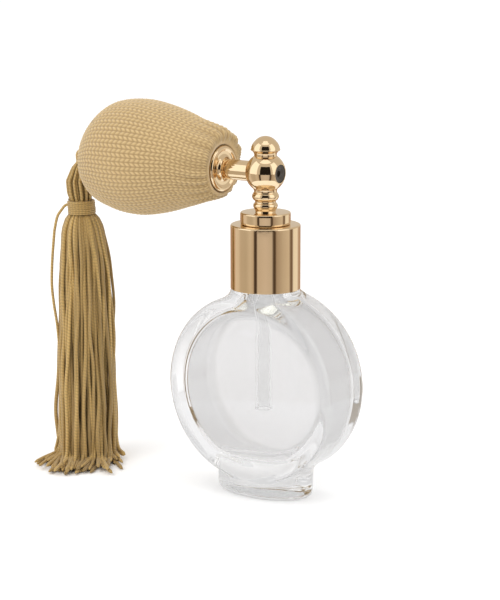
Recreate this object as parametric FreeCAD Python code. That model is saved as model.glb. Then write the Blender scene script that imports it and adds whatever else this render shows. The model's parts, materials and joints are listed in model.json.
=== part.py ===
import FreeCAD, Part
import math
import os

from FreeCAD import Vector

os.makedirs("parts", exist_ok=True)

# Bulb atomiser perfume bottle: a round flat glass flask with a screwed gold collar, a turned head with a
# nozzle, and a squeeze bulb in a knitted cover that carries a tassel.
#
# Millimetres, +Z up. The origin is on the neck's axis at the underside of the foot. The nozzle sprays towards
# +X, the bulb lies along -X, and the flat faces of the flask look along -Y and +Y.

# --- glass bottle -----------------------------------------------------------------------------------
BODY_R = 27.3  # the round flask seen from the front
BODY_HALF = 10.7  # half its thickness
BODY_Z = 32.2  # height of its centre
BODY_EDGE_R = 2.5  # rounding between the flat faces and the rim
WALL_RIM = 3.4
WALL_FACE = 2.4
FLOOR_Z = 10.5  # the thick glass bottom ends here
FOOT_A = 15.2  # half length of the oval foot, along X
FOOT_B = 9.8  # half width of the oval foot, along Y
FOOT_TOP = 11.0  # the foot runs into the body up to here
FOOT_EDGE_R = 2.5

NECK_R = 7.8
NECK_BORE_R = 4.9
NECK_TOP = 75.6
NECK_BASE_R = 9.7
NECK_BASE_TOP = 60.1
NECK_FLARE_R = 5.0  # hollow flare from the neck's base to the shoulder
NECK_FLARE_HALF = 10.2  # the flare stays this close to the middle plane
RIM_EDGE_R = 0.5

# --- screw thread of the neck -----------------------------------------------------------------------
PITCH = 3.175
THREAD_TURNS = 1.5
THREAD_Z = 65.0  # where the glass thread starts
THREAD_H = 1.0
THREAD_FOOT_W = 1.9
THREAD_CREST_W = 0.7
THREAD_ROOT = 0.15  # how far each ridge is rooted in its wall
THREAD_PLAY = 0.07  # axial play between the two ridges

# --- collar -----------------------------------------------------------------------------------------
COLLAR_R = 10.0
COLLAR_WALL = 0.35
COLLAR_Z0 = 60.4
COLLAR_Z1 = 78.9
COLLAR_EDGE_R = 0.3
COLLAR_HOLE_R = 4.2
LINER_BORE_R = 8.95
LINER_Z0 = 61.0
LINER_TOP_T = 0.85
LINER_RIDGE_H = 0.95
LINER_CREST_W = 0.5
LINER_TURNS = 1.25

# --- seal, stem plug and dip tube -------------------------------------------------------------------
GASKET_T = 1.0
GASKET_R = 7.9
GASKET_HOLE_R = 4.95
PLUG_R = 4.75
PLUG_Z0 = 68.0
PLUG_FLANGE_R = 8.6
PLUG_FLANGE_T = 1.0
SPIGOT_R = 2.4
SPIGOT_TOP = 87.0
SPIGOT_END_GAP = 0.3
SPIGOT_BORE_R = 0.8
CLIP_GROOVE_R = 1.9
CLIP_GROOVE_T = 0.8
CLIP_Z0 = 85.2
CLIP_OUT = 0.28  # how far the clip stands out of its groove
CLIP_ROOM = 0.35
CLIP_OPENING = 1.0
SEAL_GROOVE_R = 1.75
SEAL_GROOVE_W = 1.0
SEAL_Z = 83.2
SEAL_WIRE_R = 0.315
TUBE_OUTER_R = 2.5
TUBE_INNER_R = 1.7
TUBE_Z0 = 25.0
TUBE_SOCKET_TOP = 75.4
RUN_GAP = 0.05  # running clearance between pieces that turn on each other
SIT_GAP = 0.02  # clearance between pieces that only touch
CUT = 1.0  # how far a cutting shape runs past the face it cuts

# --- head -------------------------------------------------------------------------------------------
DISC_R = 7.2
DISC_Z1 = 82.4
DISC_EDGE_R = 0.35
SHANK_R = 3.3
SHANK_Z0 = 79.6
SPOOL_GROOVE_R = 2.95
SPOOL_GROOVE_H = 0.5
SPOOL_LOW_RING = (3.5, 84.1)  # radius and height of the ring's middle
SPOOL_WAIST = (3.3, 85.3)
SPOOL_RING = (3.85, 86.85)
SPOOL_NECK = (3.35, 88.1)
SPOOL_HEAD_R = 3.4

BALL_R = 5.75
BALL_Z = 93.6
BALL_FLAT = 4.7  # the ball is cut flat this far above and below its centre
NOZZLE_FLAT = 5.0  # and this far along +X, where the nozzle sits
TENON_R = 2.2
TENON_L = 1.9
LIQUID_BORE_R = 0.5
AIR_BORE_R = 0.9
STUD_R = 1.5
STUD_L = 1.8

FINIAL_FOOT_R = 3.2
FINIAL_FOOT_H = 0.5
FINIAL_HOLLOW = (3.55, 99.5)  # the flare's middle, under the lip
FINIAL_LIP = (4.2, 100.0)
FINIAL_LIP_TOP = (4.1, 100.3)
FINIAL_SIDE = (3.8, 101.5)
FINIAL_SHOULDER = (3.05, 102.55)
FINIAL_TOP = 104.0

NOZZLE_R = 2.65
NOZZLE_DEPTH = 2.2
NOZZLE_RECESS = 0.15
NOZZLE_HOLE_R = 0.9
TIP_R = 1.6
TIP_L = 1.0
TIP_HOLE_R = 0.2

# --- air tube, flange and bulb neck (distances along -X from the ball's centre) -----------------------
AIR_TUBE_R = 2.9
FLANGE_R = 6.65
FLANGE_S0 = 13.8
FLANGE_T = 1.6
FLANGE_DISH = 0.5
FLANGE_RIM_W = 1.0
FLANGE_DISH_SLOPE = 0.3
TRUMPET_R = 1.3
NIPPLE_R = 3.6
BARB_R = 4.2
BARB_L = 2.2
BARB_START = 2.0  # from the flange's back
BARBS = 3
NIPPLE_SOCKET = 1.5  # how deep the air tube's tenon goes in
NIPPLE_S1 = 27.0
NIPPLE_CHAMBER_R = 2.3
NIPPLE_CHAMBER_S0 = 20.6
VALVE_BALL_R = 1.4
VALVE_TRAVEL = 0.6
SEAT_T = 1.4
SEAT_HOLE_R = 0.8
CAGE_T = 1.2
CAGE_SLOT_W = 0.9
CAGE_SLOT_SHARE = 0.75  # how far a slot reaches across the plug
SEAT_CONE_SHARE = 0.9  # the cone's wide end, as a share of the ball

# --- squeeze bulb and its cover ---------------------------------------------------------------------
BULB_R = 17.0
BULB_MOUTH_R = 8.6
BULB_S0 = 14.4  # the cover's mouth
BULB_S_MAX = 42.0  # where the bulb is widest
BULB_S1 = 62.0  # the cover's far pole
FRONT_POWER = 1.55  # how fast the bulb narrows towards its mouth
BACK_POWER = 2.35  # how blunt its far end is
OUTLINE_STEPS = 9
COVER_T = 1.2
RUBBER_T = 1.2
COVER_FLAT = 0.7  # rounding of the cover's mouth
COVER_EDGE = 0.8
LIP_R = 6.9
COVER_LIP_S = (15.45, 16.45)
COVER_LIP_R = 4.6
RUBBER_S0 = 16.5
RUBBER_NECK_R = 6.3
RUBBER_NECK_S1 = 20.0
RUBBER_BORE_R = 4.25
RUBBER_JOIN_S = 25.0
RING_S = (17.2, 19.4)
RING_T = 0.7

# --- intake valve and tassel ------------------------------------------------------------------------
VALVE_R = 2.4
VALVE_S = (52.0, 62.3)
VALVE_FLANGE_R = 4.0
VALVE_FLANGE_S = (57.6, 58.7)
VALVE_BORE_R = 1.75
VALVE_SEAT_S = 57.4
VALVE_AIR_R = 0.6
EYE_CAP_T = 0.7
EYE_SHAFT_R = 1.3
EYE_SHAFT_L = 1.9
EYE_S = 65.0  # the crossbar that the tassel hangs from
EYE_BAR_R = 0.5
EYE_POST_Y = 2.3
EYE_POST_R = 0.4

LOOP_TOP = 94.7
LOOP_TOP_R = 1.3
LOOP_NECK = (1.4, 93.0)
LOOP_WAIST = (1.5, 91.0)
LOOP_FULL = (3.9, 84.8)
LOOP_FOOT_R = 3.6
BINDING_Z1 = 80.4  # the loop's threads end here too
BINDING_R = 4.1
BINDING_Z0 = 75.7
CORE_R = 3.2
CORE_DEPTH = 6.0
SKIRT_TOP_R = 5.6
SKIRT_MID_R = 7.4
SKIRT_END_R = 10.2
SKIRT_MID_Z = 30.0
SKIRT_Z0 = 1.0
SKIRT_EDGE_R = 1.5

UP = Vector(0, 0, 1)
AXIS_Z = BALL_Z  # the nozzle, air tube and bulb share this height


# --- general shapes ---------------------------------------------------------------------------------
def tube(outer, inner, z0, z1):
    """A round tube about Z, or a solid rod where inner is 0."""
    rod = Part.makeCylinder(outer, z1 - z0, Vector(0, 0, z0))
    if inner:
        rod = rod.cut(Part.makeCylinder(inner, z1 - z0 + 2 * CUT, Vector(0, 0, z0 - CUT)))
    return rod


def line(a, b):
    return Part.LineSegment(Vector(a[0], 0, a[1]), Vector(b[0], 0, b[1])).toShape()


def arc(a, middle, b):
    return Part.Arc(*(Vector(r, 0, z) for r, z in (a, middle, b))).toShape()


def curve(points):
    """A smooth curve through (radius, height) points."""
    spline = Part.BSplineCurve()
    spline.interpolate([Vector(r, 0, z) for r, z in points])
    return spline.toShape()


def turned(edges):
    """The solid that a closed outline of (radius, height) edges sweeps about Z."""
    wire = Part.Wire(Part.__sortEdges__(edges))
    solid = Part.Face(wire).revolve(Vector(0, 0, 0), UP, 360)
    return solid if solid.Volume > 0 else solid.reversed()


def polygon_turned(points):
    """As turned, for an outline of straight lines."""
    closed = points + points[:1]
    return turned([line(a, b) for a, b in zip(closed, closed[1:])])


def along_bulb(shape):
    """Lays a shape made about Z, at heights counted from the ball's centre, along -X."""
    laid = shape.copy()
    laid.rotate(Vector(0, 0, 0), Vector(0, 1, 0), -90)
    laid.translate(Vector(0, 0, AXIS_Z))
    return laid


def along_nozzle(shape):
    """As along_bulb, but along +X."""
    laid = shape.copy()
    laid.rotate(Vector(0, 0, 0), Vector(0, 1, 0), 90)
    laid.translate(Vector(0, 0, AXIS_Z))
    return laid


def helical_ridge(radius, foot_w, crest_w, height, z0, turns, outward):
    """A screw ridge of trapezoid section, rooted in the wall of the given radius."""
    sign = 1 if outward else -1
    root = radius - sign * THREAD_ROOT
    crest = radius + sign * height
    foot = foot_w + (foot_w - crest_w) * THREAD_ROOT / height
    corners = [
        Vector(root, 0, z0 - foot / 2),
        Vector(crest, 0, z0 - crest_w / 2),
        Vector(crest, 0, z0 + crest_w / 2),
        Vector(root, 0, z0 + foot / 2),
    ]
    section = Part.makePolygon(corners + corners[:1])
    helix = Part.makeHelix(PITCH, PITCH * turns, root)
    helix.translate(Vector(0, 0, z0))
    return Part.Wire(helix.Edges).makePipeShell([section], True, True)


# --- glass bottle -----------------------------------------------------------------------------------
def flask(radius, half, edge, z):
    """A round flat flask standing on its rim: a short cylinder along Y with rounded edges."""
    drum = Part.makeCylinder(radius, 2 * half, Vector(0, -half, z), Vector(0, 1, 0))
    rims = [e for e in drum.Edges if isinstance(e.Curve, Part.Circle)]
    return drum.makeFillet(edge, rims)


def oval_foot():
    oval = Part.Ellipse(Vector(0, 0, 0), FOOT_A, FOOT_B)
    foot = Part.Face(Part.Wire(oval.toShape())).extrude(UP * FOOT_TOP)
    lower = [e for e in foot.Edges if abs(e.BoundBox.ZMax) < 1e-6]
    return foot.makeFillet(FOOT_EDGE_R, lower)


def neck_flare():
    """The hollow flare from the neck's base to the shoulder."""
    outer = NECK_BASE_R + NECK_FLARE_R
    low = NECK_BASE_TOP - NECK_FLARE_R
    inside = low - 2 * NECK_FLARE_R
    slant = NECK_FLARE_R * (1 - math.sqrt(0.5))
    flare = turned(
        [
            line((0, inside), (0, NECK_BASE_TOP)),
            line((0, NECK_BASE_TOP), (NECK_BASE_R, NECK_BASE_TOP)),
            arc((NECK_BASE_R, NECK_BASE_TOP), (NECK_BASE_R + slant, low + slant), (outer, low)),
            line((outer, low), (NECK_BASE_R, inside)),
            line((NECK_BASE_R, inside), (0, inside)),
        ]
    )
    slab = Part.makeBox(2 * outer, 2 * NECK_FLARE_HALF, 3 * outer, Vector(-outer, -NECK_FLARE_HALF, inside))
    return flare.common(slab)


def cavity():
    """The space for the perfume: a smaller flask with a flat floor, and the neck's bore."""
    inner = flask(BODY_R - WALL_RIM, BODY_HALF - WALL_FACE, BODY_EDGE_R, BODY_Z)
    side = 2 * BODY_R
    above_floor = Part.makeBox(side, side, side, Vector(-BODY_R, -BODY_R, FLOOR_Z))
    return inner.common(above_floor).fuse(tube(NECK_BORE_R, 0, BODY_Z, NECK_TOP + CUT))


def glass_bottle():
    neck = tube(NECK_R, 0, BODY_Z, NECK_TOP)
    rim = [e for e in neck.Edges if abs(e.BoundBox.ZMin - NECK_TOP) < 1e-6]
    neck = neck.makeFillet(RIM_EDGE_R, rim)
    outside = flask(BODY_R, BODY_HALF, BODY_EDGE_R, BODY_Z).fuse([oval_foot(), neck_flare(), neck])
    thread = helical_ridge(NECK_R, THREAD_FOOT_W, THREAD_CREST_W, THREAD_H, THREAD_Z, THREAD_TURNS, True)
    return outside.cut(cavity()).fuse(thread)


# --- closure ----------------------------------------------------------------------------------------
def neck_gasket():
    return tube(GASKET_R, GASKET_HOLE_R, NECK_TOP, NECK_TOP + GASKET_T)


def stem_plug():
    """The fitting on the glass rim: plug, flange, and the spigot that the head turns on."""
    flange_z = NECK_TOP + GASKET_T
    body = tube(PLUG_R, 0, PLUG_Z0, flange_z)
    body = body.fuse(tube(PLUG_FLANGE_R, 0, flange_z, flange_z + PLUG_FLANGE_T))
    body = body.fuse(tube(SPIGOT_R, 0, flange_z, SPIGOT_TOP))
    grooves = [
        tube(SPIGOT_R + CUT, CLIP_GROOVE_R, CLIP_Z0, CLIP_Z0 + CLIP_GROOVE_T),
        tube(SPIGOT_R + CUT, SEAL_GROOVE_R, SEAL_Z - SEAL_GROOVE_W / 2, SEAL_Z + SEAL_GROOVE_W / 2),
    ]
    bores = [
        tube(TUBE_OUTER_R, 0, PLUG_Z0 - CUT, TUBE_SOCKET_TOP),
        tube(SPIGOT_BORE_R, 0, PLUG_Z0, SPIGOT_TOP + CUT),
    ]
    return body.cut(grooves + bores)


def dip_tube():
    return tube(TUBE_OUTER_R, TUBE_INNER_R, TUBE_Z0, TUBE_SOCKET_TOP)


def collar_shell():
    outer = Part.makeCylinder(COLLAR_R, COLLAR_Z1 - COLLAR_Z0, Vector(0, 0, COLLAR_Z0))
    top = [e for e in outer.Edges if abs(e.BoundBox.ZMin - COLLAR_Z1) < 1e-6]
    outer = outer.makeFillet(COLLAR_EDGE_R, top)
    inside = tube(COLLAR_R - COLLAR_WALL, 0, COLLAR_Z0 - CUT, COLLAR_Z1 - COLLAR_WALL)
    return outer.cut([inside, tube(COLLAR_HOLE_R, 0, COLLAR_Z0, COLLAR_Z1 + CUT)])


def collar_liner():
    """The threaded sleeve inside the shell, with the ring that presses the stem plug down."""
    outer = COLLAR_R - COLLAR_WALL
    top = COLLAR_Z1 - COLLAR_WALL
    sleeve = tube(outer, LINER_BORE_R, LINER_Z0, top)
    ring = tube(outer, COLLAR_HOLE_R, top - LINER_TOP_T, top)
    slope = (THREAD_FOOT_W - THREAD_CREST_W) / THREAD_H
    foot_w = LINER_CREST_W + slope * LINER_RIDGE_H
    glass_crest_r = NECK_R + THREAD_H
    width_at_crest = foot_w - slope * (LINER_BORE_R - glass_crest_r)
    below = (THREAD_CREST_W + width_at_crest) / 2 + THREAD_PLAY
    ridge = helical_ridge(
        LINER_BORE_R, foot_w, LINER_CREST_W, LINER_RIDGE_H, THREAD_Z - below, LINER_TURNS, False
    )
    return sleeve.fuse([ring, ridge]).removeSplitter()


# --- head -------------------------------------------------------------------------------------------
def head_base_disc():
    z0 = COLLAR_Z1 + RUN_GAP
    disc = Part.makeCylinder(DISC_R, DISC_Z1 - z0, Vector(0, 0, z0))
    edges = [e for e in disc.Edges if isinstance(e.Curve, Part.Circle)]
    disc = disc.makeFillet(DISC_EDGE_R, edges)
    hole = tube(SPIGOT_R + RUN_GAP, 0, z0 - CUT, DISC_Z1)
    return disc.cut([hole, tube(SHANK_R, 0, SHANK_Z0, DISC_Z1 + CUT)])


def head_spool():
    """The turned post: two rings between hollow waists, bored to run on the spigot."""
    ball_z0 = BALL_Z - BALL_FLAT
    tenon_z1 = ball_z0 + TENON_L
    groove_top = (SPOOL_GROOVE_R, DISC_Z1 + SPOOL_GROOVE_H)
    head = (SPOOL_HEAD_R, ball_z0)
    solid = turned(
        [
            line((0, SHANK_Z0), (SHANK_R, SHANK_Z0)),
            line((SHANK_R, SHANK_Z0), (SHANK_R, DISC_Z1)),
            line((SHANK_R, DISC_Z1), (SPOOL_GROOVE_R, DISC_Z1)),
            line((SPOOL_GROOVE_R, DISC_Z1), groove_top),
            curve([groove_top, SPOOL_LOW_RING, SPOOL_WAIST, SPOOL_RING, SPOOL_NECK, head]),
            line(head, (TENON_R, ball_z0)),
            line((TENON_R, ball_z0), (TENON_R, tenon_z1)),
            line((TENON_R, tenon_z1), (0, tenon_z1)),
            line((0, tenon_z1), (0, SHANK_Z0)),
        ]
    )
    spigot_room = SPIGOT_TOP + SPIGOT_END_GAP
    clip_top = CLIP_Z0 + CLIP_GROOVE_T
    return solid.cut(
        [
            tube(SPIGOT_R + RUN_GAP, 0, SHANK_Z0 - CUT, spigot_room),
            tube(LIQUID_BORE_R, 0, spigot_room - CUT, tenon_z1 + CUT),
            tube(SPIGOT_R + CLIP_ROOM, 0, CLIP_Z0 - RUN_GAP, clip_top + RUN_GAP),
        ]
    )


def spindle_seal():
    """The O-ring in the spigot's lower groove, which keeps perfume out of the swivel."""
    ring_r = (SEAL_GROOVE_R + SPIGOT_R + RUN_GAP) / 2
    return Part.makeTorus(ring_r, SEAL_WIRE_R, Vector(0, 0, SEAL_Z))


def retaining_clip():
    """The open snap ring in the spigot's upper groove, which keeps the head on."""
    outer = SPIGOT_R + CLIP_OUT
    z0 = CLIP_Z0 + RUN_GAP
    ring = tube(outer, CLIP_GROOVE_R + SIT_GAP, z0, CLIP_Z0 + CLIP_GROOVE_T - RUN_GAP)
    return ring.cut(Part.makeBox(outer + CUT, CLIP_OPENING, 2 * CUT, Vector(0, -CLIP_OPENING / 2, CLIP_Z0)))


def ball_shoulder():
    """How far from the ball's centre the air tube's end meets the ball."""
    return math.sqrt(BALL_R**2 - AIR_TUBE_R**2)


def head_ball():
    ball = Part.makeSphere(BALL_R, Vector(0, 0, BALL_Z))
    side = ball_shoulder()
    top = BALL_Z + BALL_FLAT
    bottom = BALL_Z - BALL_FLAT
    limits = Part.makeBox(NOZZLE_FLAT + side, 2 * BALL_R, 2 * BALL_FLAT, Vector(-side, -BALL_R, bottom))
    return ball.common(limits).cut(
        [
            tube(TENON_R, 0, bottom - CUT, bottom + TENON_L),
            tube(LIQUID_BORE_R, 0, bottom, BALL_Z),
            tube(STUD_R, 0, top - STUD_L, top + CUT),
            along_bulb(tube(TENON_R, 0, side - TENON_L, side + CUT)),
            along_bulb(tube(AIR_BORE_R, 0, -CUT, side)),
            along_nozzle(tube(NOZZLE_R, 0, NOZZLE_FLAT - NOZZLE_DEPTH, NOZZLE_FLAT + CUT)),
            along_nozzle(tube(AIR_BORE_R, 0, 0, NOZZLE_FLAT)),
        ]
    )


def dome_middle(start, top):
    """A point halfway along the arc, centred on the axis, from start to the dome's top."""
    centre = top - (start[0] ** 2 + (top - start[1]) ** 2) / (2 * (top - start[1]))
    radius = top - centre
    half_turn = math.asin(start[0] / radius) / 2
    return (radius * math.sin(half_turn), centre + radius * math.cos(half_turn))


def finial_cap():
    """The domed knob: a short foot, a flared lip and a dome, on a stud that closes the ball."""
    foot_z = BALL_Z + BALL_FLAT
    stud_z = foot_z - STUD_L + RUN_GAP
    neck = (FINIAL_FOOT_R, foot_z + FINIAL_FOOT_H)
    return turned(
        [
            line((0, stud_z), (STUD_R, stud_z)),
            line((STUD_R, stud_z), (STUD_R, foot_z)),
            line((STUD_R, foot_z), (FINIAL_FOOT_R, foot_z)),
            line((FINIAL_FOOT_R, foot_z), neck),
            arc(neck, FINIAL_HOLLOW, FINIAL_LIP),
            line(FINIAL_LIP, FINIAL_LIP_TOP),
            arc(FINIAL_LIP_TOP, FINIAL_SIDE, FINIAL_SHOULDER),
            arc(FINIAL_SHOULDER, dome_middle(FINIAL_SHOULDER, FINIAL_TOP), (0, FINIAL_TOP)),
            line((0, FINIAL_TOP), (0, stud_z)),
        ]
    )


def nozzle_insert():
    face = NOZZLE_FLAT - NOZZLE_RECESS
    back = NOZZLE_FLAT - NOZZLE_DEPTH
    body = tube(NOZZLE_R, 0, back, face)
    bores = [tube(NOZZLE_HOLE_R, 0, back, face + CUT), tube(TIP_R, 0, back - CUT, back + TIP_L)]
    return along_nozzle(body.cut(bores))


def nozzle_tip():
    back = NOZZLE_FLAT - NOZZLE_DEPTH
    return along_nozzle(tube(TIP_R, TIP_HOLE_R, back, back + TIP_L))


# --- air tube and bulb neck -------------------------------------------------------------------------
def air_tube():
    shoulder = ball_shoulder()
    tenon_end = FLANGE_S0 + FLANGE_T + NIPPLE_SOCKET
    rod = tube(AIR_TUBE_R, 0, shoulder, FLANGE_S0)
    tenons = tube(TENON_R, 0, shoulder - TENON_L, tenon_end)
    bore = tube(AIR_BORE_R, 0, 0, tenon_end + CUT)
    return along_bulb(rod.fuse(tenons).cut(bore))


def bulb_flange():
    """The round plate against the bulb's mouth, dished in front, with a trumpet round the tube."""
    front = FLANGE_S0
    back = front + FLANGE_T
    rim = FLANGE_T / 2
    dish_r = FLANGE_R - FLANGE_RIM_W
    dish_floor_r = dish_r - FLANGE_DISH_SLOPE
    floor = front + FLANGE_DISH
    inner = AIR_TUBE_R + SIT_GAP
    bend = TRUMPET_R * (1 - math.sqrt(0.5))
    return along_bulb(
        turned(
            [
                line((TENON_R, front), (inner, front)),
                line((inner, front), (inner, floor - TRUMPET_R)),
                arc(
                    (inner, floor - TRUMPET_R),
                    (inner + bend, floor - bend),
                    (inner + TRUMPET_R, floor),
                ),
                line((inner + TRUMPET_R, floor), (dish_floor_r, floor)),
                line((dish_floor_r, floor), (dish_r, front)),
                line((dish_r, front), (FLANGE_R - rim, front)),
                arc((FLANGE_R - rim, front), (FLANGE_R, front + rim), (FLANGE_R - rim, back)),
                line((FLANGE_R - rim, back), (TENON_R, back)),
                line((TENON_R, back), (TENON_R, front)),
            ]
        )
    )


def bulb_nipple():
    """The ribbed tube that the rubber bulb is pushed onto, with a chamber for the outlet valve."""
    back = FLANGE_S0 + FLANGE_T
    points = [(TENON_R, back), (NIPPLE_R, back)]
    for n in range(BARBS):
        s = back + BARB_START + n * BARB_L
        points += [(NIPPLE_R, s), (BARB_R, s), (NIPPLE_R, s + 0.9 * BARB_L)]
    tenon_end = back + NIPPLE_SOCKET
    points += [
        (NIPPLE_R, NIPPLE_S1),
        (NIPPLE_CHAMBER_R, NIPPLE_S1),
        (NIPPLE_CHAMBER_R, NIPPLE_CHAMBER_S0),
        (AIR_BORE_R, NIPPLE_CHAMBER_S0),
        (AIR_BORE_R, tenon_end),
        (TENON_R, tenon_end),
    ]
    return along_bulb(polygon_turned(points))


def slotted_cage(outer, s0, s1):
    """A plug with two crossed slots, which stops a valve ball and lets the air by."""
    plug = tube(outer, 0, s0, s1)
    reach = CAGE_SLOT_SHARE * outer
    width = CAGE_SLOT_W / 2
    depth = CAGE_T + 2 * CUT
    slots = [
        Part.makeBox(2 * reach, 2 * width, depth, Vector(-reach, -width, s0 - CUT)),
        Part.makeBox(2 * width, 2 * reach, depth, Vector(-width, -reach, s0 - CUT)),
    ]
    return along_bulb(plug.cut(slots))


def cone_stand_off(wide, narrow, depth):
    """How far a ball's centre stands in front of the wide end of its seat's cone."""
    touch_r = VALVE_BALL_R * depth / math.hypot(wide - narrow, depth)
    touch_in = (wide - touch_r) * depth / (wide - narrow)
    return math.sqrt(VALVE_BALL_R**2 - touch_r**2) - touch_in + SIT_GAP


def outlet_valve_seat():
    """A seat ring whose cone faces the ball."""
    cone_r = SEAT_CONE_SHARE * VALVE_BALL_R
    s0 = NIPPLE_S1 - SEAT_T
    return along_bulb(
        polygon_turned(
            [
                (SEAT_HOLE_R, NIPPLE_S1),
                (NIPPLE_CHAMBER_R, NIPPLE_S1),
                (NIPPLE_CHAMBER_R, s0),
                (cone_r, s0),
                (SEAT_HOLE_R, s0 + SEAT_T / 2),
            ]
        )
    )


def outlet_ball_place():
    """Where the outlet ball's centre is, resting on its seat's cone."""
    stand_off = cone_stand_off(SEAT_CONE_SHARE * VALVE_BALL_R, SEAT_HOLE_R, SEAT_T / 2)
    return NIPPLE_S1 - SEAT_T - stand_off


def outlet_valve_ball():
    return along_bulb(Part.makeSphere(VALVE_BALL_R, Vector(0, 0, outlet_ball_place())))


def outlet_valve_cage():
    face = outlet_ball_place() - VALVE_BALL_R - VALVE_TRAVEL - SIT_GAP
    return slotted_cage(NIPPLE_CHAMBER_R, face - CAGE_T, face)


# --- squeeze bulb -----------------------------------------------------------------------------------
def bulb_outline(inset, s_from):
    """(radius, distance) points of the bulb's outline, set in from the cover's outside."""
    radius = BULB_R - inset
    mouth = BULB_MOUTH_R - inset
    pole = BULB_S1 - inset
    points = []
    for n in range(OUTLINE_STEPS):
        s = s_from + (BULB_S_MAX - s_from) * n / OUTLINE_STEPS
        share = (BULB_S_MAX - s) / (BULB_S_MAX - BULB_S0)
        points.append((radius - (radius - mouth) * share**FRONT_POWER, s))
    for n in range(OUTLINE_STEPS):
        turn = math.pi / 2 * n / OUTLINE_STEPS
        along = math.sin(turn) ** (2 / BACK_POWER)
        out = math.cos(turn) ** (2 / BACK_POWER)
        points.append((radius * out, BULB_S_MAX + (pole - BULB_S_MAX) * along))
    return points + [(0, pole)]


def pole_hole():
    return tube(VALVE_R + RUN_GAP, 0, VALVE_S[0], BULB_S1 + CUT)


def rubber_bulb():
    inset = COVER_T + RUN_GAP
    outer = bulb_outline(inset, RUBBER_JOIN_S)
    inner = bulb_outline(inset + RUBBER_T, RUBBER_JOIN_S + RUBBER_T)
    neck_end = RUBBER_NECK_S1 + RUBBER_T
    bulb = turned(
        [
            line((RUBBER_BORE_R, RUBBER_S0), (RUBBER_NECK_R, RUBBER_S0)),
            line((RUBBER_NECK_R, RUBBER_S0), (RUBBER_NECK_R, RUBBER_NECK_S1)),
            line((RUBBER_NECK_R, RUBBER_NECK_S1), outer[0]),
            curve(outer),
            line(outer[-1], inner[-1]),
            curve(inner),
            line(inner[0], (RUBBER_BORE_R, neck_end)),
            line((RUBBER_BORE_R, neck_end), (RUBBER_BORE_R, RUBBER_S0)),
        ]
    )
    return along_bulb(bulb.cut(pole_hole()))


def knit_cover():
    """The knitted sleeve over the rubber, whose turned-in lip is trapped behind the flange."""
    lip0, lip1 = COVER_LIP_S
    outer = bulb_outline(0, BULB_S0 + COVER_EDGE)
    inner = bulb_outline(COVER_T, lip1 + COVER_EDGE)
    mouth_r = BULB_MOUTH_R - COVER_FLAT
    cover = turned(
        [
            line((COVER_LIP_R, lip0), (LIP_R, lip0)),
            line((LIP_R, lip0), (LIP_R, BULB_S0)),
            line((LIP_R, BULB_S0), (mouth_r, BULB_S0)),
            line((mouth_r, BULB_S0), outer[0]),
            curve(outer),
            line(outer[-1], inner[-1]),
            curve(inner),
            line(inner[0], (LIP_R, lip1)),
            line((LIP_R, lip1), (COVER_LIP_R, lip1)),
            line((COVER_LIP_R, lip1), (COVER_LIP_R, lip0)),
        ]
    )
    return along_bulb(cover.cut(pole_hole()))


def neck_ring():
    """The metal band that grips the rubber's neck on the nipple."""
    s0, s1 = RING_S
    return along_bulb(tube(RUBBER_NECK_R + RING_T, RUBBER_NECK_R, s0, s1))


# --- intake valve and tassel ------------------------------------------------------------------------
def intake_valve_body():
    """The plug in the bulb's far end: ball chamber, cone seat, and a socket for the eyelet."""
    s0, s1 = VALVE_S
    body = tube(VALVE_R, 0, s0, s1).fuse(tube(VALVE_FLANGE_R, 0, *VALVE_FLANGE_S))
    chamber = tube(VALVE_BORE_R, 0, s0 - CUT, VALVE_SEAT_S)
    cone = Part.makeCone(VALVE_BORE_R, VALVE_AIR_R, SEAT_T, Vector(0, 0, VALVE_SEAT_S))
    socket = tube(EYE_SHAFT_R + RUN_GAP, 0, s1 - EYE_SHAFT_L - RUN_GAP, s1 + CUT)
    return along_bulb(body.cut([chamber, cone, tube(VALVE_AIR_R, 0, s0, s1 + CUT), socket]))


def intake_ball_place():
    """Where the intake ball's centre is, resting on the cone at the chamber's far end."""
    return VALVE_SEAT_S - cone_stand_off(VALVE_BORE_R, VALVE_AIR_R, SEAT_T)


def intake_valve_ball():
    return along_bulb(Part.makeSphere(VALVE_BALL_R, Vector(0, 0, intake_ball_place())))


def intake_valve_cage():
    face = intake_ball_place() - VALVE_BALL_R - VALVE_TRAVEL - SIT_GAP
    return slotted_cage(VALVE_BORE_R, face - CAGE_T, face)


def tassel_eyelet():
    """The cap that turns in the valve's outer end, with the crossbar that the tassel hangs from."""
    cap_s = VALVE_S[1] + RUN_GAP
    cap = tube(VALVE_R, 0, cap_s, cap_s + EYE_CAP_T)
    shaft = tube(EYE_SHAFT_R, 0, cap_s - EYE_SHAFT_L, cap_s)
    post_y = EYE_POST_Y - EYE_POST_R
    posts = [Part.makeCylinder(EYE_POST_R, EYE_S - cap_s, Vector(0, y, cap_s)) for y in (-post_y, post_y)]
    bar = Part.makeCylinder(EYE_BAR_R, 2 * EYE_POST_Y, Vector(0, -EYE_POST_Y, EYE_S), Vector(0, 1, 0))
    air = tube(VALVE_AIR_R, 0, cap_s - EYE_SHAFT_L - CUT, cap_s + EYE_CAP_T)
    return along_bulb(cap.fuse([shaft, bar] + posts).cut(air))


def at_tassel(shape):
    moved = shape.copy()
    moved.translate(Vector(-EYE_S, 0, 0))
    return moved


def tassel_loop():
    """The folded threads that hang on the crossbar and spread down to the binding."""
    top = (LOOP_TOP_R, LOOP_TOP)
    foot = (LOOP_FOOT_R, BINDING_Z1)
    threads = turned(
        [
            line((0, BINDING_Z1), foot),
            curve([foot, LOOP_FULL, LOOP_WAIST, LOOP_NECK]),
            line(LOOP_NECK, top),
            line(top, (0, LOOP_TOP)),
            line((0, LOOP_TOP), (0, BINDING_Z1)),
        ]
    )
    half = LOOP_FULL[0]
    eye = Part.makeCylinder(EYE_BAR_R + RUN_GAP, 2 * half, Vector(0, -half, AXIS_Z), Vector(0, 1, 0))
    return at_tassel(threads.cut(eye))


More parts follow.
